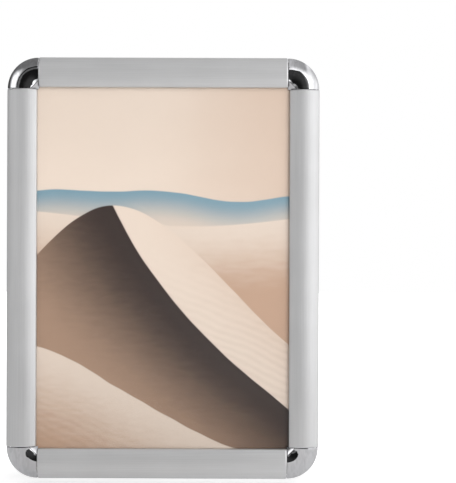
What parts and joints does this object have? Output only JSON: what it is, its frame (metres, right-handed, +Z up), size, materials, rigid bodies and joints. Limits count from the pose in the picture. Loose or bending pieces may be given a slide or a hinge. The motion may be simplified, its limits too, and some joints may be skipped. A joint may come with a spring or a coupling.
{
  "type": "poster snap frame",
  "caption": "Portrait A4 wall frame with hinged aluminium snap covers on all sides and rounded chromed corner caps.",
  "frame": {"origin": "centre of the bounding box: the middle of the frame's width and height, halfway between the wall plane and the crests of the covers", "axes": "+X to the viewer's right, +Y towards the wall, +Z up the portrait sheet; the picture faces -Y"},
  "size_m": [0.25, 0.012, 0.337],
  "materials": {
    "satin_aluminium": "satin silver anodised",
    "chromed_plastic": "bright chrome plating on moulded plastic",
    "spring_steel": "blued spring strip",
    "zinc_screw": "bright zinc plating",
    "key_plastic": "black moulded plastic",
    "white_panel": "white polystyrene board",
    "poster_paper": "printed poster paper",
    "clear_sheet": "clear anti-glare cover sheet"
  },
  "bodies": {
    "frame": {"base_rail_bottom": "satin_aluminium", "base_rail_right": "satin_aluminium", "base_rail_top": "satin_aluminium", "base_rail_left": "satin_aluminium", "corner_key_bottom_left": "key_plastic", "corner_cap_bottom_left": "chromed_plastic", "cap_screw_bottom_left": "zinc_screw", "rail_screw_bottom_left_1": "zinc_screw", "rail_screw_bottom_left_2": "zinc_screw", "corner_key_bottom_right": "key_plastic", "corner_cap_bottom_right": "chromed_plastic", "cap_screw_bottom_right": "zinc_screw", "rail_screw_bottom_right_1": "zinc_screw", "rail_screw_bottom_right_2": "zinc_screw", "corner_key_top_right": "key_plastic", "corner_cap_top_right": "chromed_plastic", "cap_screw_top_right": "zinc_screw", "rail_screw_top_right_1": "zinc_screw", "rail_screw_top_right_2": "zinc_screw", "corner_key_top_left": "key_plastic", "corner_cap_top_left": "chromed_plastic", "cap_screw_top_left": "zinc_screw", "rail_screw_top_left_1": "zinc_screw", "rail_screw_top_left_2": "zinc_screw", "back_panel": "white_panel", "poster": "poster_paper", "clear_sheet": "clear_sheet"},
    "bottom_cover": {"snap_cover_bottom": "satin_aluminium"},
    "right_cover": {"snap_cover_right": "satin_aluminium"},
    "top_cover": {"snap_cover_top": "satin_aluminium"},
    "left_cover": {"snap_cover_left": "satin_aluminium"},
    "bottom_spring_1": {"spring_bottom_1": "spring_steel"},
    "bottom_spring_2": {"spring_bottom_2": "spring_steel"},
    "right_spring_1": {"spring_right_1": "spring_steel"},
    "right_spring_2": {"spring_right_2": "spring_steel"},
    "top_spring_1": {"spring_top_1": "spring_steel"},
    "top_spring_2": {"spring_top_2": "spring_steel"},
    "left_spring_1": {"spring_left_1": "spring_steel"},
    "left_spring_2": {"spring_left_2": "spring_steel"}
  },
  "joints": [
    {"name": "bottom_cover_hinge", "type": "hinge", "parent": "frame", "child": "bottom_cover", "pos_m": [0, -0.001, -0.16655], "axis": [1, 0, 0], "range_deg": [0, 90]},
    {"name": "right_cover_hinge", "type": "hinge", "parent": "frame", "child": "right_cover", "pos_m": [0.12305, -0.001, 0], "axis": [0, 0, 1], "range_deg": [0, 90]},
    {"name": "top_cover_hinge", "type": "hinge", "parent": "frame", "child": "top_cover", "pos_m": [0, -0.001, 0.16655], "axis": [-1, 0, 0], "range_deg": [0, 90]},
    {"name": "left_cover_hinge", "type": "hinge", "parent": "frame", "child": "left_cover", "pos_m": [-0.12305, -0.001, 0], "axis": [0, 0, -1], "range_deg": [0, 90]},
    {"name": "bottom_spring_1_swing", "type": "hinge", "parent": "frame", "child": "bottom_spring_1", "pos_m": [-0.0498, 0.00039, -0.1507], "axis": [-1, 0, 0], "range_deg": [0, 21.57], "deforming": ["spring_bottom_1"]},
    {"name": "bottom_spring_2_swing", "type": "hinge", "parent": "frame", "child": "bottom_spring_2", "pos_m": [0.0498, 0.00039, -0.1507], "axis": [-1, 0, 0], "range_deg": [0, 21.57], "deforming": ["spring_bottom_2"]},
    {"name": "right_spring_1_swing", "type": "hinge", "parent": "frame", "child": "right_spring_1", "pos_m": [0.1072, 0.00039, -0.07155], "axis": [0, 0, -1], "range_deg": [0, 21.57], "deforming": ["spring_right_1"]},
    {"name": "right_spring_2_swing", "type": "hinge", "parent": "frame", "child": "right_spring_2", "pos_m": [0.1072, 0.00039, 0.07155], "axis": [0, 0, -1], "range_deg": [0, 21.57], "deforming": ["spring_right_2"]},
    {"name": "top_spring_1_swing", "type": "hinge", "parent": "frame", "child": "top_spring_1", "pos_m": [0.0498, 0.00039, 0.1507], "axis": [1, 0, 0], "range_deg": [0, 21.57], "deforming": ["spring_top_1"]},
    {"name": "top_spring_2_swing", "type": "hinge", "parent": "frame", "child": "top_spring_2", "pos_m": [-0.0498, 0.00039, 0.1507], "axis": [1, 0, 0], "range_deg": [0, 21.57], "deforming": ["spring_top_2"]},
    {"name": "left_spring_1_swing", "type": "hinge", "parent": "frame", "child": "left_spring_1", "pos_m": [-0.1072, 0.00039, 0.07155], "axis": [0, 0, 1], "range_deg": [0, 21.57], "deforming": ["spring_left_1"]},
    {"name": "left_spring_2_swing", "type": "hinge", "parent": "frame", "child": "left_spring_2", "pos_m": [-0.1072, 0.00039, -0.07155], "axis": [0, 0, 1], "range_deg": [0, 21.57], "deforming": ["spring_left_2"]}
  ],
  "couplings": [
    {"joint": "bottom_spring_1_swing", "follows": "bottom_cover_hinge", "ratio": 0.23965},
    {"joint": "bottom_spring_2_swing", "follows": "bottom_cover_hinge", "ratio": 0.23965},
    {"joint": "right_spring_1_swing", "follows": "right_cover_hinge", "ratio": 0.23965},
    {"joint": "right_spring_2_swing", "follows": "right_cover_hinge", "ratio": 0.23965},
    {"joint": "top_spring_1_swing", "follows": "top_cover_hinge", "ratio": 0.23965},
    {"joint": "top_spring_2_swing", "follows": "top_cover_hinge", "ratio": 0.23965},
    {"joint": "left_spring_1_swing", "follows": "left_cover_hinge", "ratio": 0.23965},
    {"joint": "left_spring_2_swing", "follows": "left_cover_hinge", "ratio": 0.23965}
  ]
}
